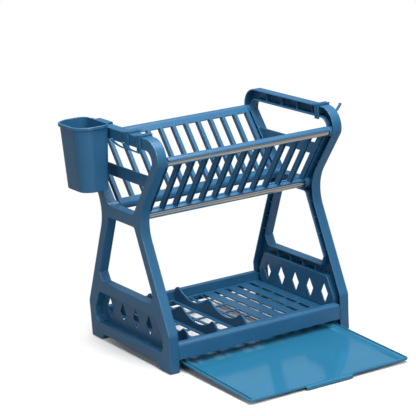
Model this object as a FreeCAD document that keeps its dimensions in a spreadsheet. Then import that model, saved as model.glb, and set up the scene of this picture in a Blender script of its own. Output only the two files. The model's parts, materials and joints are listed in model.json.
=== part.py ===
import FreeCAD, Part
import math
import os
from types import SimpleNamespace
from FreeCAD import Placement, Rotation, Vector

# Two-tier dish rack. The origin is the centre of the footprint on the table: X runs along
# the rack from the left side frame to the right one, -Y is the front, and Z is up.

DRIVING = [
    # Side frames
    ("overall_length", 360, "outer face to outer face of the side frames"),
    ("frame_depth", 18, "side frame, outer face to inner edge"),
    ("wall", 2.6, "moulded wall of a side frame"),
    ("overall_height", 393, "table to the top bar of a side frame"),
    ("pad_proud", 0.5, "rubber foot below the frame"),
    ("foot_reach", 137, "centre to the front of a foot"),
    ("kink_out", 2, "foot to the leg where it turns inward"),
    ("kink_height", 65, "height of that turn"),
    ("waist_reach", 57.5, "centre to the corner that the waist rounds off"),
    ("waist_drop", 144.5, "top of the frame to the waist corner"),
    ("waist_radius", 66, "outer curve of the waist"),
    ("bulge_reach", 140, "centre to the upper bulge"),
    ("bulge_drop", 41, "top of the frame to the bulge corner"),
    ("bulge_radius", 20, "curve of the bulge"),
    ("top_radius", 34, "upper corners of the frame"),
    ("foot_inset", 36, "length of a foot along the table"),
    ("arch_height", 11, "clear height between the feet"),
    ("arch_run", 7, "slope at the end of the arch"),
    ("top_band", 20, "height of the top bar"),
    ("bulge_band", 20, "width of the frame at the bulge"),
    ("arm_band", 19, "width of the arms, measured level"),
    ("sill_rise", 5.5, "waist corner to the bottom of the upper opening"),
    ("head_drop", 15.5, "waist corner to the top of the lower opening"),
    ("bowl_sill", 109, "bottom of the lower opening"),
    ("bowl_corner_rise", 16, "height of the cut corner of that opening"),
    ("bowl_corner_run", 8.5, "width of the cut corner"),
    ("leg_band", 20, "width of the legs, measured level"),
    ("window_drop", 20, "lower opening to the top of the sunk panel"),
    ("window_sill", 31, "bottom of the sunk panel"),
    ("window_inset", 21, "foot to the widest part of the sunk panel"),
    ("window_top_inset", 39, "foot to the panel's upper corner"),
    ("window_round", 8, "corners of the sunk panel"),
    ("panel_wall", 2.2, "thickness of the sunk panel, flush with the inner edge"),
    ("brace_recess", 12.5, "depth of the cross brace below the outer face"),
    ("brace_drop", 68, "top of the frame to the top of the cross brace"),
    ("brace_deep", 21, "height of the cross brace"),
    ("brace_wall", 3.5, "thickness of the cross brace"),
    ("diamond_count", 5, "diamond cut-outs in a panel"),
    ("diamond_pitch", 45.3, "spacing of the diamonds"),
    ("diamond_high", 36, "height of a diamond"),
    ("diamond_wide", 21, "width of a diamond"),
    ("diamond_level", 59, "height of the row of diamonds"),
    ("rib", 1.6, "stiffening ribs inside the frame"),
    ("rib_setback", 4, "ribs below the inner edge"),
    ("edge_break", 1, "chamfer round the outer face"),
    # Steel tubes
    ("tube_size", 12, "outer diameter of the steel tubes"),
    ("tube_wall", 0.8, "steel thickness"),
    ("tube_fit", 0.05, "radial clearance of a tube in its socket"),
    ("top_tube_inset", 12, "bulge to the upper tubes"),
    ("top_tube_rise", 1, "bulge corner to the upper tubes"),
    ("low_tube_inset", 8.5, "waist corner to the lower tubes, level"),
    ("low_tube_rise", 1, "waist corner to the lower tubes, upward"),
    ("socket_size", 17, "outer diameter of a tube socket"),
    ("socket_proud", 4, "socket standing out from the inner edge"),
    ("socket_deep", 8, "depth of a socket inside the frame"),
    ("tube_end_gap", 0.5, "end play of a tube"),
    # Slatted panels
    ("clip_gap", 0.3, "clearance of the clips round the tubes"),
    ("clip_wall", 3, "thickness of clips and web"),
    ("clip_lip", 25, "degrees from level to the front edge of the upper clip"),
    ("clip_front", 38, "degrees from level to the front edge of the lower clip"),
    ("clip_back", 225, "degrees from level to the back edge of the lower clip"),
    ("slat_count", 13, "slats in a panel"),
    ("slat_pitch", 25.5, "spacing of the slats"),
    ("slat_wide", 7.6, "width of a slat"),
    ("slat_rib", 1.7, "width of a slat's two ribs"),
    ("slat_deep", 6.5, "depth of a slat's ribs"),
    ("slot_foot", 8, "lower clip to the slots"),
    ("slot_head", 9, "slots to the upper clip"),
    # Base
    ("fit_gap", 0.3, "clearance between pieces that seat on each other"),
    ("rail_back", 0.5, "foot's front to beyond it, the face of a base rail"),
    ("rail_deep", 14, "depth of a base rail"),
    ("rail_low", 22, "underside of a base rail"),
    ("rail_tall", 28, "height of a base rail"),
    ("rail_wall", 2.5, "wall of a base rail"),
    ("rail_round", 6, "rounded front edge of a base rail"),
    ("rail_end_round", 5, "rounded upper ends of a base rail"),
    ("ledge_inset", 2, "frame to the end of the ledge"),
    ("tongue_long", 9, "tongue of a rail inside the frame"),
    ("ledge_run", 6, "ledge of a rail under the bowl rack"),
    ("floor_rise", 12, "underside of a rail to the top of the bowl rack's floor"),
    ("floor_thick", 2.5, "floor of the bowl rack"),
    ("rack_gap", 1.5, "bowl rack to a side frame"),
    ("fin_first", -131, "first bowl divider"),
    ("fin_pitch", 56.3, "spacing of the bowl dividers"),
    ("fin_count", 3, "bowl dividers"),
    ("fin_wall", 3, "thickness of a divider"),
    ("fin_tall", 27, "top of a divider above the floor"),
    ("fin_dip_tall", 11, "hollow of a divider above the floor"),
    ("fin_setback", 6, "edge of the floor to the front end of a divider"),
    ("floor_strip", 6, "solid edge of the floor, and beside a divider"),
    ("floor_bar", 5, "bar between two gaps in the floor"),
    ("gap_rows", 6, "rows of gaps in the floor"),
    ("divide_right", 32, "right edge of the plain strip in the floor"),
    ("drain_columns", 5, "columns of drains under the glasses"),
    ("drain_wide", 7, "width of those drains"),
    # Drip tray
    ("tray_side_gap", 7.5, "side frame to the drip tray"),
    ("tray_long", 255, "length of the drip tray"),
    ("tray_out", 204, "foot to the tray's front edge, pulled out"),
    ("tray_front_high", 8.5, "tray rim at the front edge, pulled out"),
    ("tray_slope", 2.1, "fall of the tray and its runners in degrees"),
    ("tray_deep", 7.5, "rim to underside of the tray"),
    ("tray_wall", 1.8, "wall of the tray"),
    ("flange_wide", 8.5, "side flange of the tray, with its groove"),
    ("groove_deep", 2.5, "groove in the side flange"),
    ("groove_wide", 4.5, "width of that groove"),
    ("rim_front", 3, "flat rim along the front and back"),
    ("handle_half", 45, "half the width of the pull tab"),
    ("handle_shift", -5, "centre of the pull tab along the front"),
    ("handle_reach", 4, "pull tab standing out in front"),
    ("handle_drop", 7.6, "rim to the bottom of the pull tab"),
    ("runner_wall", 2, "thickness of a tray runner"),
    # Utensil cup
    ("cup_centre", 54.8, "centre of the cup behind the middle"),
    ("cup_half", 45.2, "half the width of the cup at the rim"),
    ("cup_deep", 60, "depth of the cup at the rim"),
    ("cup_rise", 7, "top of the frame to the rim of the cup"),
    ("cup_tall", 112, "height of the cup"),
    ("cup_draft", 3.2, "degrees that the cup's sides narrow to the foot"),
    ("cup_wall", 2.2, "wall of the cup"),
    ("cup_outer_round", 28, "outer corners of the cup"),
    ("cup_inner_round", 14, "corners of the cup beside the frame"),
    ("cup_rim", 2.5, "rim standing out from the cup"),
    ("cup_rim_high", 5, "height of the rolled rim"),
    ("cup_clip_centre", 63, "centre of the cup's hanger behind the middle"),
    ("cup_clip_half", 21.5, "half the width of the hanger"),
    ("cup_clip_drop", 14, "hanger behind the top bar"),
    # Hooks
    ("hook_wide", 11, "width of a hook's strap"),
    ("hook_thick", 3, "thickness of the strap"),
    ("hook_leg", 27, "outer leg of the strap, below the top bar's upper face"),
    ("hook_inner_leg", 23, "inner leg of the strap, below that face"),
    ("hook_groove", 4.6, "width of the groove along the strap"),
    ("hook_groove_deep", 1.3, "depth of that groove"),
    ("prong_wide", 5, "width of the prong"),
    ("prong_thick", 2.8, "thickness of the prong"),
    ("prong_curve", 51, "curve of the prong"),
    ("prong_start", 17, "degrees from level at the prong's root"),
    ("prong_end", 58, "degrees from level at its tip"),
    ("left_front_hook_place", -85, "left front hook along the bar"),
    ("left_rear_hook_place", -46, "left rear hook along the bar"),
    ("right_hook_place", -95, "right hook along the bar"),
]

doc = FreeCAD.newDocument("DishRack")
sheet = doc.addObject("Spreadsheet::Sheet", "Sizes")
for row, (alias, value, meaning) in enumerate(DRIVING, start=1):
    sheet.set(f"A{row}", meaning)
    sheet.set(f"B{row}", str(value))
    sheet.setAlias(f"B{row}", alias)
doc.recompute()
dim = SimpleNamespace(**{alias: float(sheet.get(alias)) for alias, _, _ in DRIVING})

# Places that follow from the driving sizes

dim.kink_reach = dim.foot_reach + dim.kink_out
dim.waist_height = dim.overall_height - dim.waist_drop
dim.bulge_height = dim.overall_height - dim.bulge_drop
dim.plate_sill = dim.waist_height + dim.sill_rise
dim.bowl_head = dim.waist_height - dim.head_drop
dim.window_head = dim.bowl_sill - dim.window_drop
dim.window_reach = dim.foot_reach - dim.window_inset
dim.window_top_reach = dim.foot_reach - dim.window_top_inset
dim.brace_high = dim.overall_height - dim.brace_drop
dim.brace_low = dim.brace_high - dim.brace_deep
dim.top_tube_reach = dim.bulge_reach - dim.top_tube_inset
dim.top_tube_height = dim.bulge_height + dim.top_tube_rise
dim.low_tube_reach = dim.waist_reach - dim.low_tube_inset
dim.low_tube_height = dim.waist_height + dim.low_tube_rise
dim.rail_reach = dim.foot_reach + dim.rail_back
dim.rail_high = dim.rail_low + dim.rail_tall
dim.floor_high = dim.rail_low + dim.floor_rise
dim.fin_peak = dim.floor_high + dim.fin_tall
dim.fin_dip = dim.floor_high + dim.fin_dip_tall
dim.fin_reach = dim.rail_reach - dim.rail_deep - dim.fit_gap - dim.fin_setback
dim.tray_half = dim.overall_length / 2 - dim.frame_depth - dim.tray_side_gap
dim.tray_front = dim.foot_reach + dim.tray_out
dim.cup_high = dim.overall_height + dim.cup_rise
dim.cup_low = dim.cup_high - dim.cup_tall

pieces = []


# Sketch and feature helpers

def new_body(label):
    body = doc.addObject("PartDesign::Body", label)
    body.Label = label
    pieces.append(body)
    return body


def new_sketch(body, role, offset="0", turn=None, lift=Vector(0, 0, 0)):
    """Sketch on one of the body's origin planes, moved along its normal by an expression."""
    sketch = body.newObject("Sketcher::SketchObject", body.Label + "_sketch")
    plane = [item for item in body.Origin.OriginFeatures if item.Role == role][0]
    sketch.AttachmentSupport = [(plane, "")]
    sketch.MapMode = "FlatFace"
    if turn is not None:
        sketch.AttachmentOffset = Placement(lift, turn)
    else:
        sketch.setExpression(".AttachmentOffset.Base.z", offset)
    return sketch


def draw(sketch, *loops):
    for loop in loops:
        sketch.addGeometry(loop, False)
    return sketch


def pad(body, sketch, length, flip=False, taper=None):
    feature = body.newObject("PartDesign::Pad", body.Label + "_pad")
    feature.Profile = sketch
    feature.Reversed = flip
    feature.setExpression("Length", length)
    if taper is not None:
        feature.setExpression("TaperAngle", taper)
    return feature


def pocket(body, sketch, length, flip=False, taper=None):
    """Cut away from the sketch's normal, or along it where flip is set, and prove it cut."""
    doc.recompute()
    before = body.Shape.Volume
    feature = body.newObject("PartDesign::Pocket", body.Label + "_pocket")
    feature.Profile = sketch
    feature.Reversed = flip
    feature.setExpression("Length", length)
    if taper is not None:
        feature.setExpression("TaperAngle", taper)
    doc.recompute()
    if feature.Shape.Volume > before - 0.01:
        raise RuntimeError(f"{feature.Label} cuts nothing")
    return feature


def row_of(body, features, count, length):
    """Repeat features along X."""
    pattern = body.newObject("PartDesign::LinearPattern", body.Label + "_row")
    pattern.Originals = features
    axis = [item for item in body.Origin.OriginFeatures if item.Role == "X_Axis"][0]
    pattern.Direction = (axis, [""])
    pattern.setExpression("Length", length)
    pattern.setExpression("Occurrences", count)
    body.Tip = pattern
    return pattern


def segments(points):
    """Closed loop of straight lines."""
    corners = [Vector(a, b, 0) for a, b in points]
    return [Part.LineSegment(p, q) for p, q in zip(corners, corners[1:] + corners[:1])]


def rounded(points):
    """Closed loop through (a, b, radius) corners, each rounded by a tangent arc."""
    count = len(points)
    corners = [Vector(a, b, 0) for a, b, _ in points]
    starts, ends, arcs = [], [], []
    for i, (_, _, radius) in enumerate(points):
        here = corners[i]
        back = (corners[i - 1] - here).normalize()
        ahead = (corners[(i + 1) % count] - here).normalize()
        half = back.getAngle(ahead) / 2
        if radius < 0.01 or abs(half - math.pi / 2) < 1e-6:
            starts.append(here)
            ends.append(here)
            arcs.append(None)
            continue
        run = radius / math.tan(half)
        middle = (back + ahead).normalize()
        centre = here + middle * (radius / math.sin(half))
        starts.append(here + back * run)
        ends.append(here + ahead * run)
        arcs.append(Part.Arc(starts[i], centre - middle * radius, ends[i]))
    loop = []
    for i in range(count):
        if arcs[i] is not None:
            loop.append(arcs[i])
        following = starts[(i + 1) % count]
        if (following - ends[i]).Length > 1e-6:
            loop.append(Part.LineSegment(ends[i], following))
    return loop


def circle(a, b, radius):
    return [Part.Circle(Vector(a, b, 0), Vector(0, 0, 1), radius)]


def box_loop(a_low, a_high, b_low, b_high, radius=0.0):
    return rounded([(a_low, b_low, radius), (a_high, b_low, radius),
                    (a_high, b_high, radius), (a_low, b_high, radius)])


def both_ends(half):
    """A front half outline, from bottom to top, closed by its mirror image at the back."""
    return half + [(-a, b, radius) for a, b, radius in reversed(half)]


# Side frames. Outlines are drawn in Y and Z, front half first.

def along(low, high, level):
    """Y of the line between two (y, z) points at a level."""
    return low[0] + (high[0] - low[0]) * (level - low[1]) / (high[1] - low[1])


leg_line = ((-dim.kink_reach, dim.kink_height), (-dim.waist_reach, dim.waist_height))
arm_line = ((-dim.waist_reach, dim.waist_height), (-dim.bulge_reach, dim.bulge_height))


def leg_outside(level):
    if level < dim.kink_height:
        return along((-dim.foot_reach, 0), leg_line[0], level)
    return along(*leg_line, level)


def arm_outside(level):
    return along(*arm_line, level)


def frame_outline():
    foot = dim.pad_proud
    return rounded(both_ends([
        (-dim.foot_reach + dim.foot_inset + dim.arch_run, dim.arch_height, 0),
        (-dim.foot_reach + dim.foot_inset, foot, 0),
        (-dim.foot_reach, foot, 0),
        (-dim.kink_reach, dim.kink_height, 14),
        (-dim.waist_reach, dim.waist_height, dim.waist_radius),
        (-dim.bulge_reach, dim.bulge_height, dim.bulge_radius),
        (-dim.bulge_reach, dim.overall_height, dim.top_radius),
    ]))


def plate_opening():
    inner = dim.bulge_reach - dim.bulge_band
    turn_level = dim.bulge_height - (dim.arm_band - dim.bulge_band) * (
        (dim.bulge_height - dim.waist_height) / (dim.bulge_reach - dim.waist_reach))
    return rounded(both_ends([
        (arm_outside(dim.plate_sill) + dim.arm_band, dim.plate_sill, 9),
        (-inner, turn_level, 5),
        (-inner, dim.overall_height - dim.top_band, 18),
    ]))


def bowl_opening():
    corner_level = dim.bowl_sill + dim.bowl_corner_rise
    corner = leg_outside(corner_level) + dim.leg_band
    return rounded(both_ends([
        (corner + dim.bowl_corner_run, dim.bowl_sill, 0),
        (corner, corner_level, 0),
        (leg_outside(dim.bowl_head) + dim.leg_band, dim.bowl_head, 6),
    ]))


def window_outline(grow, corner):
    """Outline of the sunk panel, grown by a wall for the tub round it."""
    side_low = dim.window_sill + 10
    side_high = dim.window_head - 31
    return rounded(both_ends([
        (-dim.window_reach + 8 - grow * 0.6, dim.window_sill - grow, corner),
        (-dim.window_reach - grow, side_low, corner),
        (-dim.window_reach - grow, side_high, corner),
        (-dim.window_top_reach - grow * 0.5, dim.window_head + grow, corner),
    ]))


def diamond(centre):
    half_high = dim.diamond_high / 2
    half_wide = dim.diamond_wide / 2
    level = dim.diamond_level
    return segments([(centre, level - half_high), (centre + half_wide, level),
                     (centre, level + half_high), (centre - half_wide, level)])


def level_rib(level, outside, inside):
    """Rib across a leg or an arm, its ends sunk half a wall into the frame's edges."""
    return box_loop(outside + dim.wall / 2, inside - dim.wall / 2,
                    level - dim.rib / 2, level + dim.rib / 2)


def upright_rib(place, low, high):
    return box_loop(place - dim.rib / 2, place + dim.rib / 2,
                    low + dim.wall / 2, high - dim.wall / 2)


def frame_ribs():
    ribs = []
    leg_levels = [bowl_level(step / 4) for step in range(4)]
    arm_levels = [dim.plate_sill + (dim.bulge_height - dim.plate_sill) * share
                  for share in (0.36, 0.86)]
    for level in leg_levels:
        front = (leg_outside(level), leg_outside(level) + dim.leg_band)
        ribs.append(level_rib(level, *front))
        ribs.append(level_rib(level, -front[1], -front[0]))
    for level in arm_levels:
        front = (arm_outside(level), arm_outside(level) + dim.arm_band)
        ribs.append(level_rib(level, *front))
        ribs.append(level_rib(level, -front[1], -front[0]))
    for place in (-0.6, -0.2, 0.2, 0.6):
        top_place = place * (dim.bulge_reach - dim.bulge_band)
        ribs.append(upright_rib(top_place, dim.overall_height - dim.top_band,
                                dim.overall_height))
        ribs.append(upright_rib(place * dim.window_top_reach, dim.window_head, dim.bowl_sill))
    return ribs


def bowl_level(share):
    low = dim.bowl_sill + dim.bowl_corner_rise
    return low + (dim.bowl_head - low) * (0.1 + share)


def tray_rim(place):
    """Level of the tray's rim plane at a place along Y."""
    return dim.tray_front_high + (dim.tray_front + place) * math.tan(math.radians(dim.tray_slope))


def runner_loop(facing):
    """Sloping shelf under the tray's flange. facing is 1 or -1, as the frame is turned."""
    top = dim.groove_deep + dim.tray_wall + dim.fit_gap
    front = -dim.foot_reach + 15
    back = dim.foot_reach - 24
    corners = [(front, tray_rim(front) - top), (back, tray_rim(back) - top)]
    lower = [(y, z - dim.runner_wall) for y, z in reversed(corners)]
    return segments([(facing * y, z) for y, z in corners + lower])


def side_frame(label, facing):
    body = new_body(label)
    outline = draw(new_sketch(body, "YZ_Plane"), frame_outline(), plate_opening(), bowl_opening())
    block = pad(body, outline, "Sizes.frame_depth")
    doc.recompute()
    shell = body.newObject("PartDesign::Thickness", label + "_shell")
    shell.Base = (block, [flat_face(block.Shape, dim.frame_depth)])
    shell.Reversed = True
    shell.setExpression("Value", "Sizes.wall")
    doc.recompute()
    softened = body.newObject("PartDesign::Chamfer", label + "_edges")
    softened.Base = (shell, outer_edges(shell.Shape, 0))
    softened.setExpression("Size", "Sizes.edge_break")
    doc.recompute()

    tub = draw(new_sketch(body, "YZ_Plane"), window_outline(dim.wall, 0))
    pad(body, tub, "Sizes.frame_depth")
    window = draw(new_sketch(body, "YZ_Plane"), window_outline(0, dim.window_round))
    pocket(body, window, "Sizes.frame_depth - Sizes.panel_wall", flip=True)
    row = [diamond(dim.diamond_pitch * (step - (dim.diamond_count - 1) / 2))
           for step in range(int(dim.diamond_count))]
    diamonds = draw(new_sketch(body, "YZ_Plane", "Sizes.frame_depth - Sizes.panel_wall - 1"), *row)
    pocket(body, diamonds, "Sizes.panel_wall + 2", flip=True)

    ribs = draw(new_sketch(body, "YZ_Plane", "Sizes.wall / 2"), *frame_ribs())
    pad(body, ribs, "Sizes.frame_depth - Sizes.wall / 2 - Sizes.rib_setback")
    low_reach = arm_outside(dim.brace_low) + dim.arm_band - dim.wall / 2
    high_reach = arm_outside(dim.brace_high) + dim.arm_band - dim.wall / 2
    brace = draw(new_sketch(body, "YZ_Plane", "Sizes.brace_recess"),
                 segments([(low_reach, dim.brace_low), (-low_reach, dim.brace_low),
                           (-high_reach, dim.brace_high), (high_reach, dim.brace_high)]))
    pad(body, brace, "Sizes.brace_wall")

    places = [(side * reach, level) for side in (-1, 1)
              for reach, level in ((dim.top_tube_reach, dim.top_tube_height),
                                   (dim.low_tube_reach, dim.low_tube_height))]
    sockets = draw(new_sketch(body, "YZ_Plane", "Sizes.wall / 2"),
                   *[circle(y, z, dim.socket_size / 2) for y, z in places])
    pad(body, sockets, "Sizes.frame_depth - Sizes.wall / 2 + Sizes.socket_proud")
    bores = draw(new_sketch(body, "YZ_Plane", "Sizes.frame_depth + Sizes.socket_proud"),
                 *[circle(y, z, dim.tube_size / 2 + dim.tube_fit) for y, z in places])
    pocket(body, bores, "Sizes.socket_deep + Sizes.socket_proud")

    runner = draw(new_sketch(body, "YZ_Plane", "Sizes.wall / 2"), runner_loop(facing))
    pad(body, runner, "Sizes.frame_depth - Sizes.wall / 2 + Sizes.tray_side_gap"
                      " + Sizes.flange_wide - 1.5")

    seat = dim.foot_reach - dim.foot_inset / 2
    pads = draw(new_sketch(body, "XY_Plane", "Sizes.pad_proud"),
                *[foot_pad_loop(side * seat, dim.fit_gap / 2) for side in (-1, 1)])
    pocket(body, pads, "1.5", flip=True)
    doc.recompute()
    return body


def foot_pad_loop(place, grow):
    middle = dim.frame_depth / 2
    return box_loop(middle - 5 - grow, middle + 5 + grow, place - 12 - grow, place + 12 + grow)


def flat_face(shape, level):
    """Name of the face that lies flat at a level along X."""
    for number, face in enumerate(shape.Faces, start=1):
        box = face.BoundBox
        if box.XLength < 1e-4 and abs(box.XMin - level) < 1e-4:
            return f"Face{number}"
    raise RuntimeError("no flat face found")


def outer_edges(shape, level):
    """Names of the edges that lie in the plane at a level along X."""
    names = []
    for number, edge in enumerate(shape.Edges, start=1):
        box = edge.BoundBox
        if abs(box.XMin - level) < 1e-4 and abs(box.XMax - level) < 1e-4:
            names.append(f"Edge{number}")
    return names


left_frame = side_frame("left_side_frame", 1)
left_frame.setExpression(".Placement.Base.x", "-Sizes.overall_length / 2")
right_frame = side_frame("right_side_frame", -1)
right_frame.Placement = Placement(Vector(0, 0, 0), Rotation(Vector(0, 0, 1), 180))
right_frame.setExpression(".Placement.Base.x", "Sizes.overall_length / 2")


# Rubber feet, sunk into the frames' feet

def foot_pad(label, side, end):
    body = new_body(label)
    loop = box_loop(-5, 5, -12, 12)
    pad(body, draw(new_sketch(body, "XY_Plane"), loop), "1.5 + Sizes.pad_proud - 0.1")
    body.setExpression(".Placement.Base.x",
                       f"{side} * (Sizes.overall_length / 2 - Sizes.frame_depth / 2)")
    body.setExpression(".Placement.Base.y",
                       f"{end} * (Sizes.foot_reach - Sizes.foot_inset / 2)")
    return body


for side, side_name in ((-1, "left"), (1, "right")):
    for end, end_name in ((-1, "front"), (1, "rear")):
        foot_pad(f"{side_name}_{end_name}_foot_pad", side, end)


# Steel tubes, each ending inside the frames' sockets

def steel_tube(label, reach, level):
    outer = doc.addObject("Part::Cylinder", label + "_outer")
    inner = doc.addObject("Part::Cylinder", label + "_inner")
    long = ("Sizes.overall_length - 2 * (Sizes.frame_depth - Sizes.socket_deep"
            " + Sizes.tube_end_gap)")
    for cylinder in (outer, inner):
        cylinder.setExpression("Height", long)
        cylinder.Placement.Rotation = Rotation(Vector(0, 1, 0), 90)
        cylinder.setExpression(".Placement.Base.x", f"-({long}) / 2")
        cylinder.setExpression(".Placement.Base.y", reach)
        cylinder.setExpression(".Placement.Base.z", level)
    outer.setExpression("Radius", "Sizes.tube_size / 2")
    inner.setExpression("Radius", "Sizes.tube_size / 2 - Sizes.tube_wall")
    tube = doc.addObject("Part::Cut", label)
    tube.Base = outer
    tube.Tool = inner
    tube.Label = label
    pieces.append(tube)
    return tube


top_reach = "(Sizes.bulge_reach - Sizes.top_tube_inset)"
top_level = "Sizes.overall_height - Sizes.bulge_drop + Sizes.top_tube_rise"
low_reach = "(Sizes.waist_reach - Sizes.low_tube_inset)"
low_level = "Sizes.overall_height - Sizes.waist_drop + Sizes.low_tube_rise"
steel_tube("front_top_tube", f"-{top_reach}", top_level)
steel_tube("rear_top_tube", top_reach, top_level)
steel_tube("front_lower_tube", f"-{low_reach}", low_level)
steel_tube("rear_lower_tube", low_reach, low_level)


# Slatted panels. Each hangs on an upper and a lower tube by two clips and a sloping web.

upper = Vector(-dim.top_tube_reach, dim.top_tube_height, 0)
lower = Vector(-dim.low_tube_reach, dim.low_tube_height, 0)
climb = (upper - lower).normalize()
slope_long = (upper - lower).Length
inward = Vector(climb.y, -climb.x, 0)
web_angle = 180 - math.degrees(math.atan2(inward.y, inward.x))
clip_inside = dim.tube_size / 2 + dim.clip_gap
clip_outside = clip_inside + dim.clip_wall


def around(centre, radius, degrees):
    """Point beside a tube, its angle counted from the front over the top."""
    angle = math.radians(degrees)
    return centre + Vector(-math.cos(angle), math.sin(angle), 0) * radius


def arc(centre, radius, start, end):
    return Part.Arc(around(centre, radius, start), around(centre, radius, (start + end) / 2),
                    around(centre, radius, end))


def panel_profile():
    branch = web_angle - math.degrees(math.acos(clip_inside / clip_outside))
    return [
        arc(upper, clip_outside, dim.clip_lip, web_angle),
        Part.LineSegment(around(upper, clip_outside, web_angle),
                         around(lower, clip_outside, web_angle)),
        arc(lower, clip_outside, web_angle, dim.clip_back),
        Part.LineSegment(around(lower, clip_outside, dim.clip_back),
                         around(lower, clip_inside, dim.clip_back)),
        arc(lower, clip_inside, dim.clip_back, dim.clip_front),
        Part.LineSegment(around(lower, clip_inside, dim.clip_front),
                         around(lower, clip_outside, dim.clip_front)),
        arc(lower, clip_outside, dim.clip_front, branch),
        Part.LineSegment(around(lower, clip_outside, branch),
                         around(upper, clip_inside, web_angle)),
        arc(upper, clip_inside, web_angle, dim.clip_lip),
        Part.LineSegment(around(upper, clip_inside, dim.clip_lip),
                         around(upper, clip_outside, dim.clip_lip)),
    ]


def on_slope(run, inset):
    """(y, z) of a point by its run up the slope and its inset from the line of the tubes."""
    point = lower + climb * run + inward * inset
    return (point.x, point.y)


def slat_rib_loop():
    end = slope_long - dim.tube_size / 2 - 1
    low_inset = clip_inside - dim.slat_deep
    return segments([on_slope(dim.slot_foot - 0.5, clip_inside + 0.5),
                     on_slope(end, clip_inside + 0.5), on_slope(end, low_inset),
                     on_slope(clip_outside + 0.2, low_inset)])


def cross_rib_loop(share):
    run = slope_long * share
    return segments([on_slope(run, clip_inside + 0.5), on_slope(run + dim.rib, clip_inside + 0.5),
                     on_slope(run + dim.rib, clip_inside - dim.slat_deep * 0.7),
                     on_slope(run, clip_inside - dim.slat_deep * 0.7)])


def slat_panel(label):
    body = new_body(label)
    half = "((Sizes.slat_count - 1) * Sizes.slat_pitch + Sizes.slat_wide) / 2"
    profile = draw(new_sketch(body, "YZ_Plane", f"-{half}"), panel_profile())
    pad(body, profile, f"2 * ({half})")
    doc.recompute()

    slot_wide = dim.slat_pitch - dim.slat_wide
    first = -((dim.slat_count - 1) * dim.slat_pitch - dim.slat_wide) / 2
    turn = Rotation(Vector(1, 0, 0), math.degrees(math.atan2(climb.y, climb.x)))
    start = lower + inward * (clip_outside + 1)
    slot_sketch = new_sketch(body, "XY_Plane", turn=turn, lift=Vector(0, start.x, start.y))
    draw(slot_sketch, box_loop(first, first + slot_wide, dim.slot_foot,
                               slope_long - dim.slot_head))
    slot = pocket(body, slot_sketch, "Sizes.clip_wall + 2", flip=True)
    row_of(body, [slot], "Sizes.slat_count - 1", "(Sizes.slat_count - 2) * Sizes.slat_pitch")
    doc.recompute()

    near = pad(body, draw(new_sketch(body, "YZ_Plane", f"-{half}"), slat_rib_loop()),
               "Sizes.slat_rib")
    far = pad(body, draw(new_sketch(body, "YZ_Plane", f"-{half} + Sizes.slat_wide - Sizes.slat_rib"),
                         slat_rib_loop()), "Sizes.slat_rib")
    crosses = pad(body, draw(new_sketch(body, "YZ_Plane", f"-{half}"),
                             cross_rib_loop(0.36), cross_rib_loop(0.68)), "Sizes.slat_wide")
    row_of(body, [near, far, crosses], "Sizes.slat_count",
           "(Sizes.slat_count - 1) * Sizes.slat_pitch")
    doc.recompute()
    return body


slat_panel("front_slat_panel")
rear_panel = slat_panel("rear_slat_panel")
rear_panel.Placement = Placement(Vector(0, 0, 0), Rotation(Vector(0, 0, 1), 180))


# Base rails: hollow beams with an open back edge, tongues into the frames and a ledge inside

def rail_section():
    front = -dim.rail_reach
    back = front + dim.rail_deep
    return rounded([
        (front, dim.rail_low, 0), (front, dim.rail_high, dim.rail_round),
        (back, dim.rail_high, 2), (back, dim.rail_low, 0),
    ])


def rail_hollow():
    front = -dim.rail_reach + dim.rail_wall
    back = -dim.rail_reach + dim.rail_deep - dim.rail_wall
    return rounded([
        (front, dim.rail_low - 1, 0), (front, dim.rail_high - dim.rail_wall, 3.5),
        (back, dim.rail_high - dim.rail_wall, 0), (back, dim.rail_low - 1, 0),
    ])


def ledge_section():
    back = -dim.rail_reach + dim.rail_deep
    top = dim.floor_high - dim.floor_thick - dim.fit_gap
    return segments([(back - dim.rail_wall / 2, top - 2), (back + dim.ledge_run, top - 2),
                     (back + dim.ledge_run, top), (back - dim.rail_wall / 2, top)])


def rail_corner(side):
    """What is cut off an upper end of the rail to round it."""
    end = side * (dim.overall_length / 2 - dim.frame_depth - dim.fit_gap)
    radius = dim.rail_end_round
    inside = end - side * radius
    low = dim.rail_high - radius
    lean = radius * math.sqrt(0.5)
    return [Part.Arc(Vector(inside, dim.rail_high, 0), Vector(inside + side * lean, low + lean, 0),
                     Vector(end, low, 0)),
            Part.LineSegment(Vector(end, low, 0), Vector(end + side, low, 0)),
            Part.LineSegment(Vector(end + side, low, 0), Vector(end + side, dim.rail_high + 1, 0)),
            Part.LineSegment(Vector(end + side, dim.rail_high + 1, 0),
                             Vector(inside, dim.rail_high + 1, 0)),
            Part.LineSegment(Vector(inside, dim.rail_high + 1, 0), Vector(inside, dim.rail_high, 0))]


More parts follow.
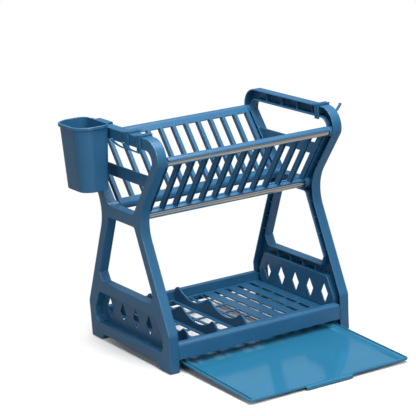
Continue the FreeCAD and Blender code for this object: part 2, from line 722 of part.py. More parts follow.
def base_rail(label):
    body = new_body(label)
    reach = "Sizes.overall_length / 2 - Sizes.frame_depth - Sizes.fit_gap"
    section = draw(new_sketch(body, "YZ_Plane", f"-({reach})"), rail_section())
    pad(body, section, f"2 * ({reach})")
    hollow = draw(new_sketch(body, "YZ_Plane", f"-({reach}) + Sizes.rail_wall"), rail_hollow())
    pocket(body, hollow, f"2 * ({reach} - Sizes.rail_wall)", flip=True)
    corners = draw(new_sketch(body, "XZ_Plane"), rail_corner(-1), rail_corner(1))
    pocket(body, corners, "Sizes.foot_reach + Sizes.rail_back + 1", flip=True)
    ledge = draw(new_sketch(body, "YZ_Plane", f"-({reach}) + Sizes.ledge_inset"), ledge_section())
    pad(body, ledge, f"2 * ({reach} - Sizes.ledge_inset)")
    front = -dim.rail_reach + dim.wall + 2
    back = -dim.rail_reach + dim.rail_deep - 1
    tongue = draw(new_sketch(body, "YZ_Plane", f"-({reach}) - Sizes.tongue_long"),
                  box_loop(front, back, dim.rail_low + 5, dim.rail_high - 6))
    pad(body, tongue, "Sizes.tongue_long + Sizes.rail_wall / 2")
    other = draw(new_sketch(body, "YZ_Plane", f"{reach} - Sizes.rail_wall / 2"),
                 box_loop(front, back, dim.rail_low + 5, dim.rail_high - 6))
    pad(body, other, "Sizes.tongue_long + Sizes.rail_wall / 2")
    doc.recompute()
    return body


base_rail("front_base_rail")
rear_rail = base_rail("rear_base_rail")
rear_rail.Placement = Placement(Vector(0, 0, 0), Rotation(Vector(0, 0, 1), 180))


# Bowl rack: a drained floor with arched dividers on the left and a glass area on the right

def fin_loop():
    """Divider with two hollows, each one an arc between rounded peaks."""
    base = dim.floor_high - dim.floor_thick / 2
    reach = dim.fin_reach
    dip = reach * 0.47
    return [
        Part.LineSegment(Vector(reach, base, 0), Vector(-reach, base, 0)),
        Part.LineSegment(Vector(-reach, base, 0), Vector(-reach, dim.fin_peak - 9, 0)),
        Part.Arc(Vector(-reach, dim.fin_peak - 9, 0), Vector(-reach + 5, dim.fin_peak - 2, 0),
                 Vector(-reach + 16, dim.fin_peak, 0)),
        Part.Arc(Vector(-reach + 16, dim.fin_peak, 0), Vector(-dip, dim.fin_dip, 0),
                 Vector(-8, dim.fin_peak, 0)),
        Part.Arc(Vector(-8, dim.fin_peak, 0), Vector(0, dim.fin_peak + 1.5, 0),
                 Vector(8, dim.fin_peak, 0)),
        Part.Arc(Vector(8, dim.fin_peak, 0), Vector(dip, dim.fin_dip, 0),
                 Vector(reach - 16, dim.fin_peak, 0)),
        Part.Arc(Vector(reach - 16, dim.fin_peak, 0), Vector(reach - 5, dim.fin_peak - 2, 0),
                 Vector(reach, dim.fin_peak - 9, 0)),
        Part.LineSegment(Vector(reach, dim.fin_peak - 9, 0), Vector(reach, base, 0)),
    ]


def floor_gaps(left, right, reach):
    """Column of plain rectangles through the floor."""
    end = reach - dim.floor_strip
    pitch = (2 * end + dim.floor_bar) / dim.gap_rows
    return [box_loop(left, right, -end + row * pitch, -end + (row + 1) * pitch - dim.floor_bar)
            for row in range(int(dim.gap_rows))]


def bowl_rack():
    body = new_body("bowl_rack")
    half = dim.overall_length / 2 - dim.frame_depth - dim.rack_gap
    reach = dim.rail_reach - dim.rail_deep - dim.fit_gap
    floor = draw(new_sketch(body, "XY_Plane", "Sizes.rail_low + Sizes.floor_rise - Sizes.floor_thick"),
                 box_loop(-half, half, -reach, reach))
    pad(body, floor, "Sizes.floor_thick")

    floor_top = "Sizes.rail_low + Sizes.floor_rise"
    left = dim.fin_first + dim.fin_wall / 2 + dim.floor_strip
    right = dim.fin_first + dim.fin_pitch - dim.fin_wall / 2 - dim.floor_strip
    middle = (left + right) / 2
    bay = (floor_gaps(left, middle - dim.floor_bar / 2, reach)
           + floor_gaps(middle + dim.floor_bar / 2, right, reach))
    slots = pocket(body, draw(new_sketch(body, "XY_Plane", floor_top), *bay),
                   "Sizes.floor_thick + 1")
    row_of(body, [slots], "Sizes.fin_count", "(Sizes.fin_count - 1) * Sizes.fin_pitch")
    doc.recompute()

    margin = floor_gaps(-half + dim.floor_strip, dim.fin_first - dim.fin_wall / 2 - dim.floor_strip,
                        reach)
    pocket(body, draw(new_sketch(body, "XY_Plane", floor_top), *margin),
           "Sizes.floor_thick + 1")

    pitch = (half - dim.divide_right) / dim.drain_columns
    drains = floor_gaps(dim.divide_right, dim.divide_right + dim.drain_wide, reach)
    holes = pocket(body, draw(new_sketch(body, "XY_Plane", floor_top), *drains),
                   "Sizes.floor_thick + 1")
    row_of(body, [holes], "Sizes.drain_columns", f"{(dim.drain_columns - 1) * pitch}")
    doc.recompute()

    fin = pad(body, draw(new_sketch(body, "YZ_Plane", "Sizes.fin_first - Sizes.fin_wall / 2"),
                         fin_loop()), "Sizes.fin_wall")
    row_of(body, [fin], "Sizes.fin_count", "(Sizes.fin_count - 1) * Sizes.fin_pitch")
    doc.recompute()
    return body


bowl_rack()


# Drip tray, drawn with its rim plane at zero and its front edge at the origin

def tray():
    body = new_body("drip_tray")
    pan_half = dim.tray_half - dim.flange_wide
    flange = draw(new_sketch(body, "XY_Plane"),
                  box_loop(-dim.tray_half, dim.tray_half, 0, dim.tray_long, 5))
    pad(body, flange, "Sizes.groove_deep + Sizes.tray_wall - 0.3", flip=True)
    pan_outer = draw(new_sketch(body, "XY_Plane"),
                     box_loop(-pan_half, pan_half, 0.6, dim.tray_long - 0.6, 5))
    pad(body, pan_outer, "Sizes.tray_deep", flip=True, taper="-35")
    inner = draw(new_sketch(body, "XY_Plane"),
                 box_loop(-pan_half + 1.5, pan_half - 1.5, dim.rim_front,
                          dim.tray_long - dim.rim_front, 4))
    pocket(body, inner, "Sizes.tray_deep - Sizes.tray_wall", taper="-35")
    grooves = []
    for side in (-1, 1):
        edge = side * (dim.tray_half - 2)
        inside = edge - side * dim.groove_wide
        grooves.append(box_loop(min(edge, inside), max(edge, inside), dim.rim_front,
                                dim.tray_long - dim.rim_front))
    pocket(body, draw(new_sketch(body, "XY_Plane"), *grooves), "Sizes.groove_deep")
    top = -dim.tray_wall
    lip = dim.handle_reach
    handle = draw(new_sketch(body, "YZ_Plane", "-Sizes.handle_half + Sizes.handle_shift"),
                  segments([(2, top + 1), (-lip + 1, top), (-lip, top - 1), (-lip, -dim.handle_drop),
                            (-lip + dim.tray_wall, -dim.handle_drop),
                            (-lip + dim.tray_wall, top - dim.tray_wall), (2, top - dim.tray_wall)]))
    pad(body, handle, "2 * Sizes.handle_half")
    doc.recompute()
    body.Placement = Placement(Vector(0, 0, 0), Rotation(Vector(1, 0, 0), dim.tray_slope))
    body.setExpression(".Placement.Base.y", "-(Sizes.foot_reach + Sizes.tray_out)")
    body.setExpression(".Placement.Base.z", "Sizes.tray_front_high")
    return body


tray()


# Utensil cup, hung over the left frame's top bar

def rim_loop(grow):
    """Level outline of the cup at its rim, grown in front and at the sides, flush at the back."""
    back = -dim.overall_length / 2 - dim.fit_gap + min(grow, 0)
    front = -dim.overall_length / 2 - dim.fit_gap - dim.cup_deep - grow
    half = dim.cup_half + grow
    near = dim.cup_inner_round + grow
    far = dim.cup_outer_round + grow
    return rounded([(back, dim.cup_centre - half, near), (back, dim.cup_centre + half, near),
                    (front, dim.cup_centre + half, far), (front, dim.cup_centre - half, far)])


def utensil_cup():
    body = new_body("utensil_cup")
    rim_level = "Sizes.overall_height + Sizes.cup_rise"
    block = pad(body, draw(new_sketch(body, "XY_Plane", rim_level), rim_loop(0)),
                "Sizes.cup_tall", flip=True, taper="-Sizes.cup_draft")
    doc.recompute()
    hollow = body.newObject("PartDesign::Thickness", "cup_hollow")
    tops = [f"Face{number}" for number, face in enumerate(block.Shape.Faces, start=1)
            if face.BoundBox.ZMin > dim.cup_high - 1e-3]
    hollow.Base = (block, tops)
    hollow.Reversed = True
    hollow.setExpression("Value", "Sizes.cup_wall")
    doc.recompute()
    rim = draw(new_sketch(body, "XY_Plane", f"{rim_level} - Sizes.cup_rim_high"),
               rim_loop(dim.cup_rim), rim_loop(-dim.cup_wall / 2))
    pad(body, rim, "Sizes.cup_rim_high")
    drains = []
    for step in (-1, 0, 1):
        for column in (0.35, 0.65):
            x = -dim.overall_length / 2 - dim.cup_deep * column
            y = dim.cup_centre + step * 22
            drains.append(box_loop(x - 2.5, x + 2.5, y - 6, y + 6))
    cup_floor = f"{rim_level} - Sizes.cup_tall + Sizes.cup_wall"
    pocket(body, draw(new_sketch(body, "XY_Plane", f"{cup_floor} + 1"), *drains),
           "Sizes.cup_wall + 2")
    outer = -dim.overall_length / 2 - dim.fit_gap
    inner = -dim.overall_length / 2 + dim.frame_depth + dim.fit_gap
    top = dim.overall_height + dim.fit_gap
    hanger = draw(new_sketch(body, "XZ_Plane", "-Sizes.cup_clip_centre - Sizes.cup_clip_half"),
                  rounded([(outer - dim.cup_wall, top, 0), (inner, top, 0),
                           (inner, top - dim.cup_clip_drop, 0),
                           (inner + dim.hook_thick, top - dim.cup_clip_drop, 1),
                           (inner + dim.hook_thick, top + dim.hook_thick, 2.5),
                           (outer - dim.cup_wall, top + dim.hook_thick, 0)]))
    pad(body, hanger, "2 * Sizes.cup_clip_half")
    doc.recompute()
    return body


utensil_cup()


# Hooks: a strap over the top bar with a round prong, drawn at the middle of the left bar

def prong_loop(root, low):
    """Curved prong between two arcs that share a centre, from the strap's foot out and up."""
    start = math.radians(dim.prong_start)
    end = math.radians(dim.prong_end)
    centre = Vector(root + dim.prong_curve * math.sin(start),
                    low + dim.prong_curve * math.cos(start), 0)

    def point(radius, angle):
        return centre - Vector(math.sin(angle), math.cos(angle), 0) * radius

    outside = dim.prong_curve + dim.prong_thick / 2
    inside = dim.prong_curve - dim.prong_thick / 2
    middle = (start + end) / 2
    return [Part.Arc(point(outside, start), point(outside, middle), point(outside, end)),
            Part.LineSegment(point(outside, end), point(inside, end)),
            Part.Arc(point(inside, end), point(inside, middle), point(inside, start)),
            Part.LineSegment(point(inside, start), point(outside, start))]


def hook(label, side, place):
    body = new_body(label)
    outer = -dim.fit_gap
    inner = dim.frame_depth + dim.fit_gap
    top = dim.overall_height + dim.fit_gap
    foot = dim.overall_height - dim.hook_leg
    thick = dim.hook_thick
    inner_foot = dim.overall_height - dim.hook_inner_leg
    strap = draw(new_sketch(body, "XZ_Plane", "-Sizes.hook_wide / 2"),
                 rounded([(outer, foot, 0), (outer, top, 0), (inner, top, 0),
                          (inner, inner_foot, 0), (inner + thick, inner_foot, 0),
                          (inner + thick, top + thick, 1), (outer - thick, top + thick, 1),
                          (outer - thick, foot, 0)]))
    pad(body, strap, "Sizes.hook_wide")
    floor = thick - dim.hook_groove_deep
    groove = draw(new_sketch(body, "XZ_Plane", "-Sizes.hook_groove / 2"),
                  segments([(outer - floor, foot + thick), (outer - floor, top + floor),
                            (inner + floor, top + floor), (inner + floor, inner_foot - 1),
                            (inner + thick + 1, inner_foot - 1), (inner + thick + 1, top + thick + 1),
                            (outer - thick - 1, top + thick + 1), (outer - thick - 1, foot + thick)]))
    pocket(body, groove, "Sizes.hook_groove", flip=True)
    prong = draw(new_sketch(body, "XZ_Plane", "-Sizes.prong_wide / 2"),
                 prong_loop(outer - thick / 2, foot + dim.prong_thick / 2 + 0.4))
    pad(body, prong, "Sizes.prong_wide")
    doc.recompute()
    if side > 0:
        body.Placement = Placement(Vector(0, 0, 0), Rotation(Vector(0, 0, 1), 180))
    body.setExpression(".Placement.Base.x", f"{side} * Sizes.overall_length / 2")
    body.setExpression(".Placement.Base.y", place)
    return body


hook("left_front_hook", -1, "Sizes.left_front_hook_place")
hook("left_rear_hook", -1, "Sizes.left_rear_hook_place")
hook("right_hook", 1, "Sizes.right_hook_place")


# Every object must be sound before anything is written

doc.recompute()
for item in doc.Objects:
    if "Invalid" in item.State or "Error" in item.State:
        raise RuntimeError(f"{item.Label} failed: {item.State}")
os.makedirs("parts", exist_ok=True)
for piece in pieces:
    shape = piece.Shape
    if shape.isNull() or not shape.isValid():
        raise RuntimeError(f"{piece.Label} has no sound shape")
    if len(shape.Solids) != 1:
        raise RuntimeError(f"{piece.Label} has {len(shape.Solids)} solids")
    shape.exportStep(f"parts/{piece.Label}.step")
print(len(pieces), "pieces written")
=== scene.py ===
import json
import math

import bmesh
import bpy
import numpy as np
from mathutils import Matrix, Vector
from mathutils.geometry import convex_hull_2d


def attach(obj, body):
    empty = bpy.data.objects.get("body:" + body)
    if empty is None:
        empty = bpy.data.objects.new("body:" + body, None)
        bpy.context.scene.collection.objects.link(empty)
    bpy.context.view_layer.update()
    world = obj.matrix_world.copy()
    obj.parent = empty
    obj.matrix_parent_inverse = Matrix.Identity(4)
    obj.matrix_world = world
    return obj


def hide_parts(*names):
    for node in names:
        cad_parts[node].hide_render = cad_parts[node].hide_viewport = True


# Two-tier dish rack in moulded polypropylene and stainless tube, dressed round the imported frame.
# Lengths are in metres unless a name ends in Mm.


def mm(value):
    return value / 1000


def hexToLinear(code, alpha=1.0):
    channels = [int(code[i:i + 2], 16) / 255 for i in (1, 3, 5)]
    linear = [c / 12.92 if c <= 0.04045 else ((c + 0.055) / 1.055) ** 2.4 for c in channels]
    return (*linear, alpha)


# Adds a node with its settings, and its inputs as values or as sockets to link from
def addNode(tree, kind, settings=None, inputs=None):
    node = tree.nodes.new(kind)
    for name, value in (settings or {}).items():
        setattr(node, name, value)
    for name, value in (inputs or {}).items():
        if isinstance(value, bpy.types.NodeSocket):
            tree.links.new(value, node.inputs[name])
        else:
            node.inputs[name].default_value = value
    return node


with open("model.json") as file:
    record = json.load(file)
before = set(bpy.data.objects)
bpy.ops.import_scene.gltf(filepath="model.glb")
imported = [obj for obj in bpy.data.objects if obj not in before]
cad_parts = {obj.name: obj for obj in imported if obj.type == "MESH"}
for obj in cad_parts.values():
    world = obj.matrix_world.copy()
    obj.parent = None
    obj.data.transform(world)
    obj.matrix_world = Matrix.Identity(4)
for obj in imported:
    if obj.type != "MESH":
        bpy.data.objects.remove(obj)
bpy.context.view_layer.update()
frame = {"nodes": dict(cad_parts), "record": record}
print("frame loaded:", len(frame["nodes"]), "nodes")


# Camera: the photograph is a long lens from the front left, slightly tilted

cameraSettings = {
    "place": (-1.6099, -2.7145, 1.0534),
    "azimuth": 30.53,       # degrees that the view turns from +Y towards +X
    "elevation": 14.71,     # degrees that it looks down
    "roll": 3.45,           # degrees that the horizon rises to the right
    "lensMm": 164.17,
    "sensorMm": 36,
    "clip": (0.1, 50),
}


def makeCamera(settings):
    angles = (math.radians(settings[k]) for k in ("azimuth", "elevation", "roll"))
    azimuth, elevation, roll = angles
    forward = Vector((math.sin(azimuth) * math.cos(elevation),
                      math.cos(azimuth) * math.cos(elevation), -math.sin(elevation)))
    level = Vector((math.cos(azimuth), -math.sin(azimuth), 0))
    upright = level.cross(forward)
    right = level * math.cos(roll) - upright * math.sin(roll)
    up = upright * math.cos(roll) + level * math.sin(roll)
    data = bpy.data.cameras.new("photoCamera")
    data.lens = settings["lensMm"]
    data.sensor_width = settings["sensorMm"]
    data.clip_start, data.clip_end = settings["clip"]
    camera = bpy.data.objects.new("photoCamera", data)
    bpy.context.scene.collection.objects.link(camera)
    turn = Matrix((right, up, -forward)).transposed().to_4x4()
    camera.matrix_world = Matrix.Translation(settings["place"]) @ turn
    bpy.context.scene.camera = camera


makeCamera(cameraSettings)


# Studio: white paper floor, soft boxes and a white surround that lights the scene only weakly

studio = {
    "floorHex": "#ebebeb",
    "bounceHex": "#9a9da0",         # the floor's colour in the light that it throws back
    "floorReach": 6.0, "floorDropMm": 0.5, "floorRoughness": 0.9,
    "shadowCentre": (0, -0.1, 0), "shadowHalf": (0.24, 0.32, 1),
    "shadowFade": (0.8, 1.4),       # shares of that half size where the shadow's fade starts, ends
    "surroundHex": "#ffffff",
    "surroundStrength": 0.04,
    "mirroredFloor": 0.38,          # how bright a reflection sees the bare floor,
    "mirroredLow": 0.12,            # the surround straight ahead
    "mirroredHigh": 0.55,           # and the surround overhead
    "keyPlace": (-0.4, -2.2, 2.0), "keySize": 1.0, "keyWatts": 44,
    "fillPlace": (-2.6, -0.5, 1.3), "fillSize": 1.4, "fillWatts": 15,
    "topPlace": (0.0, -0.2, 2.4), "topSize": 1.5, "topWatts": 90,
    "frontPlace": (-0.4, -2.3, 0.55), "frontSize": 1.5, "frontWatts": 14,
}


def makeLamp(name, place, size, watts, target=(0, 0, 0.2)):
    data = bpy.data.lights.new(name, "AREA")
    data.shape, data.size, data.energy = "SQUARE", size, watts
    lamp = bpy.data.objects.new(name, data)
    bpy.context.scene.collection.objects.link(lamp)
    lamp.location = place
    lamp.rotation_euler = (Vector(target) - Vector(place)).to_track_quat("-Z", "Y").to_euler()


def makeSurround(settings):
    world = bpy.data.worlds.new("whiteSurround")
    bpy.context.scene.world = world
    world.use_nodes = True
    tree = world.node_tree
    tree.nodes.clear()
    path = addNode(tree, "ShaderNodeLightPath")
    height = addNode(tree, "ShaderNodeSeparateXYZ", {}, {
        0: addNode(tree, "ShaderNodeTexCoord").outputs["Generated"]}).outputs["Z"]
    mirrored = addNode(tree, "ShaderNodeMapRange", {"interpolation_type": "SMOOTHSTEP"}, {
        "Value": height, "From Min": 0.0, "From Max": 0.75,
        "To Min": settings["mirroredLow"], "To Max": settings["mirroredHigh"]})
    indirect = addNode(tree, "ShaderNodeMapRange", {}, {
        "Value": path.outputs["Is Glossy Ray"], "To Min": settings["surroundStrength"],
        "To Max": mirrored.outputs[0]})
    strength = addNode(tree, "ShaderNodeMath", {"operation": "MAXIMUM"},
                       {0: path.outputs["Is Camera Ray"], 1: indirect.outputs[0]})
    glow = addNode(tree, "ShaderNodeBackground", {}, {
        "Color": hexToLinear(settings["surroundHex"]), "Strength": strength.outputs[0]})
    addNode(tree, "ShaderNodeOutputWorld", {}, {"Surface": glow.outputs[0]})


# Matt paper: near the object it takes the shadow, and further out the camera sees it plain white.
# Here and in makePlastic, inputs 6 and 7 of the colour mix are its two colours
def makePaper(settings):
    material = bpy.data.materials.new("matt white paper")
    material.use_nodes = True
    tree = material.node_tree
    surface = tree.nodes["Principled BSDF"]
    surface.inputs["Roughness"].default_value = settings["floorRoughness"]
    path = addNode(tree, "ShaderNodeLightPath")
    shade = addNode(tree, "ShaderNodeMix", {"data_type": "RGBA"}, {
        "Factor": path.outputs["Is Camera Ray"], 6: hexToLinear(settings["bounceHex"]),
        7: hexToLinear(settings["floorHex"])})
    tree.links.new(shade.outputs[2], surface.inputs["Base Color"])
    place = addNode(tree, "ShaderNodeTexCoord").outputs["Object"]
    offset = addNode(tree, "ShaderNodeVectorMath", {"operation": "SUBTRACT"},
                     {0: place, 1: settings["shadowCentre"]})
    share = addNode(tree, "ShaderNodeVectorMath", {"operation": "DIVIDE"},
                    {0: offset.outputs[0], 1: settings["shadowHalf"]})
    distance = addNode(tree, "ShaderNodeVectorMath", {"operation": "LENGTH"},
                       {0: share.outputs[0]})
    fadeStart, fadeEnd = settings["shadowFade"]
    far = addNode(tree, "ShaderNodeMapRange", {"interpolation_type": "SMOOTHSTEP"}, {
        "Value": distance.outputs["Value"], "From Min": fadeStart, "From Max": fadeEnd,
        "To Min": 0.0, "To Max": 1.0})
    seen = addNode(tree, "ShaderNodeMath", {"operation": "MAXIMUM"},
                   {0: path.outputs["Is Camera Ray"], 1: path.outputs["Is Glossy Ray"]})
    bare = addNode(tree, "ShaderNodeMath", {"operation": "MULTIPLY"},
                   {0: far.outputs[0], 1: seen.outputs[0]})
    brightness = addNode(tree, "ShaderNodeMapRange", {}, {
        "Value": path.outputs["Is Camera Ray"], "To Min": settings["mirroredFloor"],
        "To Max": 1.0})
    white = addNode(tree, "ShaderNodeEmission", {},
                    {"Color": (1, 1, 1, 1), "Strength": brightness.outputs[0]})
    mix = addNode(tree, "ShaderNodeMixShader", {}, {
        0: bare.outputs[0], 1: surface.outputs[0], 2: white.outputs[0]})
    tree.links.new(mix.outputs[0], tree.nodes["Material Output"].inputs["Surface"])
    return material


def makeStudio(settings):
    for lamp in ("key", "fill", "top", "front"):
        makeLamp(lamp + "SoftBox", settings[lamp + "Place"], settings[lamp + "Size"],
                 settings[lamp + "Watts"])
    makeSurround(settings)
    reach, low = settings["floorReach"], -mm(settings["floorDropMm"])
    floorMesh = bpy.data.meshes.new("studioFloor")
    corners = [(-reach, -reach, low), (reach, -reach, low), (reach, reach, low),
               (-reach, reach, low)]
    floorMesh.from_pydata(corners, [], [(0, 1, 2, 3)])
    floor = bpy.data.objects.new("studioFloor", floorMesh)
    bpy.context.scene.collection.objects.link(floor)
    floorMesh.materials.append(makePaper(settings))


makeStudio(studio)
bpy.context.scene.view_settings.view_transform = "Standard"
print("camera and studio made")


# Finishes

# Satin injection-moulded polypropylene: a soft sheen, a fine spark-eroded grain, faint flow marks
mouldedPP = {
    "baseHex": "#275f85", "shadeHex": "#215375", "roughness": 0.34, "ior": 1.49,
    "grainMm": 0.9,        # the real grain is about 0.1 mm, drawn coarser so that it shows
    "grainDepthMm": 0.02, "grainStrength": 0.3, "mottleMm": 45, "roughnessSpread": 0.03,
}
# The tray came from a polished mould: nearly a mirror at a low angle, with slow shrinkage waves
glossyPP = {"baseHex": "#286f91", "shadeHex": "#246586", "roughness": 0.1, "ior": 1.49,
            "grainMm": 28, "grainDepthMm": 0.12, "grainStrength": 0.3, "mottleMm": 70,
            "roughnessSpread": 0.03}
# Drawn and polished stainless tube: fine lines along its length
stainless = {"baseHex": "#e2e0db", "roughness": 0.12, "smoother": 0.05, "rougher": 0.08,
             "lineMm": 0.35, "lineStretch": 50}
# Moulded silicone foot: dull and dark
silicone = {"baseHex": "#23272b", "roughness": 0.7, "grainMm": 0.6, "grainDepthMm": 0.02,
            "grainStrength": 0.3}


def newMaterial(name):
    material = bpy.data.materials.new(name)
    material.use_nodes = True
    tree = material.node_tree
    return tree, tree.nodes["Principled BSDF"], material


def addGrain(tree, surface, place, finish):
    grain = addNode(tree, "ShaderNodeTexNoise", {}, {
        "Vector": place, "Scale": 1 / mm(finish["grainMm"]), "Detail": 2.0})
    bump = addNode(tree, "ShaderNodeBump", {}, {
        "Height": grain.outputs["Fac"], "Strength": finish["grainStrength"],
        "Distance": mm(finish["grainDepthMm"])})
    tree.links.new(bump.outputs[0], surface.inputs["Normal"])


def makePlastic(name, finish):
    tree, surface, material = newMaterial(name)
    place = addNode(tree, "ShaderNodeTexCoord").outputs["Object"]
    mottle = addNode(tree, "ShaderNodeTexNoise", {}, {
        "Vector": place, "Scale": 1 / mm(finish["mottleMm"]), "Detail": 3.0, "Roughness": 0.55})
    tint = addNode(tree, "ShaderNodeMix", {"data_type": "RGBA"}, {
        "Factor": mottle.outputs["Fac"], 6: hexToLinear(finish["baseHex"]),
        7: hexToLinear(finish["shadeHex"])})
    tree.links.new(tint.outputs[2], surface.inputs["Base Color"])
    rough = addNode(tree, "ShaderNodeMapRange", {}, {
        "Value": mottle.outputs["Fac"],
        "To Min": finish["roughness"] - finish["roughnessSpread"],
        "To Max": finish["roughness"] + finish["roughnessSpread"]})
    tree.links.new(rough.outputs[0], surface.inputs["Roughness"])
    surface.inputs["IOR"].default_value = finish["ior"]
    addGrain(tree, surface, place, finish)
    return material


def makeSteel(name, finish):
    tree, surface, material = newMaterial(name)
    place = addNode(tree, "ShaderNodeTexCoord").outputs["Object"]
    drawn = addNode(tree, "ShaderNodeMapping", {}, {
        "Vector": place, "Scale": (1 / finish["lineStretch"], 1, 1)})
    lines = addNode(tree, "ShaderNodeTexNoise", {}, {
        "Vector": drawn.outputs[0], "Scale": 1 / mm(finish["lineMm"]), "Detail": 2.0})
    rough = addNode(tree, "ShaderNodeMapRange", {}, {
        "Value": lines.outputs["Fac"], "To Min": finish["roughness"] - finish["smoother"],
        "To Max": finish["roughness"] + finish["rougher"]})
    tree.links.new(rough.outputs[0], surface.inputs["Roughness"])
    surface.inputs["Base Color"].default_value = hexToLinear(finish["baseHex"])
    surface.inputs["Metallic"].default_value = 1.0
    return material


def makeSilicone(name, finish):
    tree, surface, material = newMaterial(name)
    place = addNode(tree, "ShaderNodeTexCoord").outputs["Object"]
    addGrain(tree, surface, place, finish)
    surface.inputs["Base Color"].default_value = hexToLinear(finish["baseHex"])
    surface.inputs["Roughness"].default_value = finish["roughness"]
    return material


finishes = {
    "frame_plastic": makePlastic("satin moulded polypropylene", mouldedPP),
    "tray_plastic": makePlastic("glossy moulded polypropylene", glossyPP),
    "steel": makeSteel("drawn stainless tube", stainless),
    "rubber": makeSilicone("moulded silicone rubber", silicone),
}


# Mouldings: each CAD solid is copied, its triangles are joined, and its edges get the small
# radius that the mould gives them, so that they catch the light

mouldings = {
    "slackMm": 0.02,        # points nearer than this are one
    "flatAngle": 0.04,      # degrees below which two faces are one plane
    "sharpAngle": 32,       # degrees above which an edge gets a radius
    "edgeMm": {"frame": 0.9, "panel": 0.35, "rack": 0.35, "rail": 0.7, "tray": 0.5, "cup": 0.7,
               "hook": 0.45, "pad": 0.3, "tube": 0.2},
    "edgeSteps": 2,
    "edgeShare": 0.4,       # an edge radius takes at most this share of the face beside it
    "plainShare": 0.6,      # a flat region that fills this much of its hull becomes one face
    "pairAngle": 0.1,       # degrees that a pair of triangles may be out of plane
    "pairSkew": 70,         # and degrees that its corners may be out of square
    "shadingWeight": 50,
}


def bodyOf(nodeName):
    for body, members in frame["record"]["behaviour"]["bodies"].items():
        if nodeName in members:
            return body


def slotOf(nodeName):
    for part in frame["record"]["subparts"]:
        if part["node"] == nodeName:
            return part["material_slot"]


# Groups of triangles that lie in one plane, joined through their flat edges
def flatRegions(work, flatAngle):
    seen = set()
    for first in work.faces:
        if first in seen:
            continue
        seen.add(first)
        region, front = [], [first]
        while front:
            face = front.pop()
            region.append(face)
            for edge in face.edges:
                if edge.is_manifold and edge.calc_face_angle(0) < flatAngle:
                    for other in edge.link_faces:
                        if other not in seen:
                            seen.add(other)
                            front.append(other)
        yield region


# Way from each sharp edge of a flat region straight across it to the region's far side
def roomsAcross(region):
    inside = set(region)
    rim = [loop for face in region for loop in face.loops
           if any(other not in inside for other in loop.edge.link_faces)]
    normal = max(region, key=lambda face: face.calc_area()).normal
    level = normal.orthogonal().normalized()
    axes = np.array((level, normal.cross(level))).T
    starts = np.array([loop.vert.co for loop in rim]) @ axes
    ends = np.array([loop.link_loop_next.vert.co for loop in rim]) @ axes
    for loop, start, end in zip(rim, starts, ends):
        if loop.edge.smooth:
            continue
        along = (end - start) / np.linalg.norm(end - start)
        inward = np.array((-along[1], along[0]))
        room = 1.0
        for share in (0.1, 0.5, 0.9):
            base = start + (end - start) * share
            x0, y0 = (starts - base) @ inward, (starts - base) @ along
            x1, y1 = (ends - base) @ inward, (ends - base) @ along
            crossing = (y0 > 0) != (y1 > 0)
            across = x0[crossing] - y0[crossing] * (x1 - x0)[crossing] / (y1 - y0)[crossing]
            room = min([room, *across[across > 1e-6]])
        yield loop.edge, room


# Share of its hull that a flat region fills: about one for a plain face, little for a thin ring
def fullness(region):
    normal = max(region, key=lambda face: face.calc_area()).normal
    level = normal.orthogonal().normalized()
    side = normal.cross(level)
    flat = [(vert.co.dot(level), vert.co.dot(side)) for vert in
            {vert for face in region for vert in face.verts}]
    hull = [flat[i] for i in convex_hull_2d(flat)]
    area = abs(sum(x0 * y1 - x1 * y0 for (x0, y0), (x1, y1) in zip(hull, hull[1:] + hull[:1]))) / 2
    return sum(face.calc_area() for face in region) / area


# A plain region becomes one face, and the triangles of ringed or holed ones are paired
def mergeRegions(work, regions, settings):
    for region in regions:
        corners = {vert for face in region for vert in face.verts}
        edges = {edge for face in region for edge in face.edges}
        whole = len(corners) - len(edges) + len(region) == 1
        if len(region) > 1 and whole and fullness(region) > settings["plainShare"]:
            bmesh.ops.dissolve_faces(work, faces=region)
    triangles = [face for face in work.faces if len(face.verts) == 3]
    bmesh.ops.join_triangles(work, faces=triangles,
                             angle_face_threshold=math.radians(settings["pairAngle"]),
                             angle_shape_threshold=math.radians(settings["pairSkew"]))


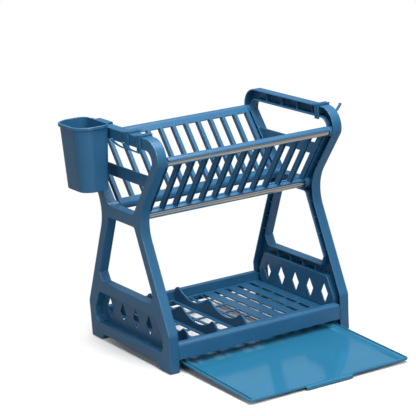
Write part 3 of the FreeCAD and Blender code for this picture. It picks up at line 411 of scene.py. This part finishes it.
def joinTriangles(mesh, settings, width):
    work = bmesh.new()
    work.from_mesh(mesh)
    bmesh.ops.remove_doubles(work, verts=work.verts, dist=mm(settings["slackMm"]))
    bmesh.ops.dissolve_degenerate(work, edges=work.edges, dist=mm(settings["slackMm"]))
    for face in work.faces:
        face.smooth = True
    sharp = math.radians(settings["sharpAngle"])
    for edge in work.edges:
        edge.smooth = edge.is_manifold and edge.calc_face_angle(0) < sharp
    weight = work.edges.layers.float.new("bevel_weight_edge")
    for edge in work.edges:
        edge[weight] = 0.0 if edge.smooth else 1.0
    regions = list(flatRegions(work, math.radians(settings["flatAngle"])))
    for region in regions:
        for edge, room in roomsAcross(region):
            edge[weight] = min(edge[weight], settings["edgeShare"] * room / width)
    mergeRegions(work, regions, settings)
    work.to_mesh(mesh)
    work.free()


# The photograph shows slimmer slats than the CAD panels have. Only x changes, so the panels'
# clips, which run along x, and their ends stay as they are
slats = {"pitchMm": 25.5, "count": 13, "modelledMm": 7.6, "shownMm": 6.4, "slackMm": 0.01}


def slimSlats(mesh, settings):
    pitch, modelled, shown = (mm(settings[k]) for k in ("pitchMm", "modelledMm", "shownMm"))
    last = pitch * (settings["count"] - 1) / 2
    for vert in mesh.vertices:
        x = vert.co.x
        centre = pitch * round(x / pitch)
        if abs(x) > last:
            continue
        if abs(x - centre) <= modelled / 2 + mm(settings["slackMm"]):
            vert.co.x = centre + (x - centre) * shown / modelled
        else:
            gap = pitch * (math.floor(x / pitch) + 0.5)
            vert.co.x = gap + (x - gap) * (pitch - shown) / (pitch - modelled)


def dressMoulding(nodeName, settings):
    words = nodeName.split("_")
    pieceName = words[0] + "".join(word.capitalize() for word in words[1:]) + "Moulding"
    mesh = frame["nodes"][nodeName].data.copy()
    mesh.name = pieceName
    if words[-1] == "panel":
        slimSlats(mesh, slats)
    width = mm(settings["edgeMm"][words[-1]])
    joinTriangles(mesh, settings, width)
    mesh.materials.clear()
    mesh.materials.append(finishes[slotOf(nodeName)])
    piece = bpy.data.objects.new(pieceName, mesh)
    bpy.context.scene.collection.objects.link(piece)
    bevel = piece.modifiers.new("mouldRadius", "BEVEL")
    bevel.width = width
    bevel.segments = settings["edgeSteps"]
    bevel.limit_method = "WEIGHT"
    bevel.use_clamp_overlap = False
    even = piece.modifiers.new("evenShading", "WEIGHTED_NORMAL")
    even.mode = "FACE_AREA"
    even.weight = settings["shadingWeight"]
    even.keep_sharp = True
    split = piece.modifiers.new("plainTriangles", "TRIANGULATE")
    split.ngon_method = "BEAUTY"
    split.min_vertices = 5
    split.keep_custom_normals = True
    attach(piece, bodyOf(nodeName))
    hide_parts(nodeName)


for nodeName in frame["nodes"]:
    dressMoulding(nodeName, mouldings)
print("mouldings dressed")
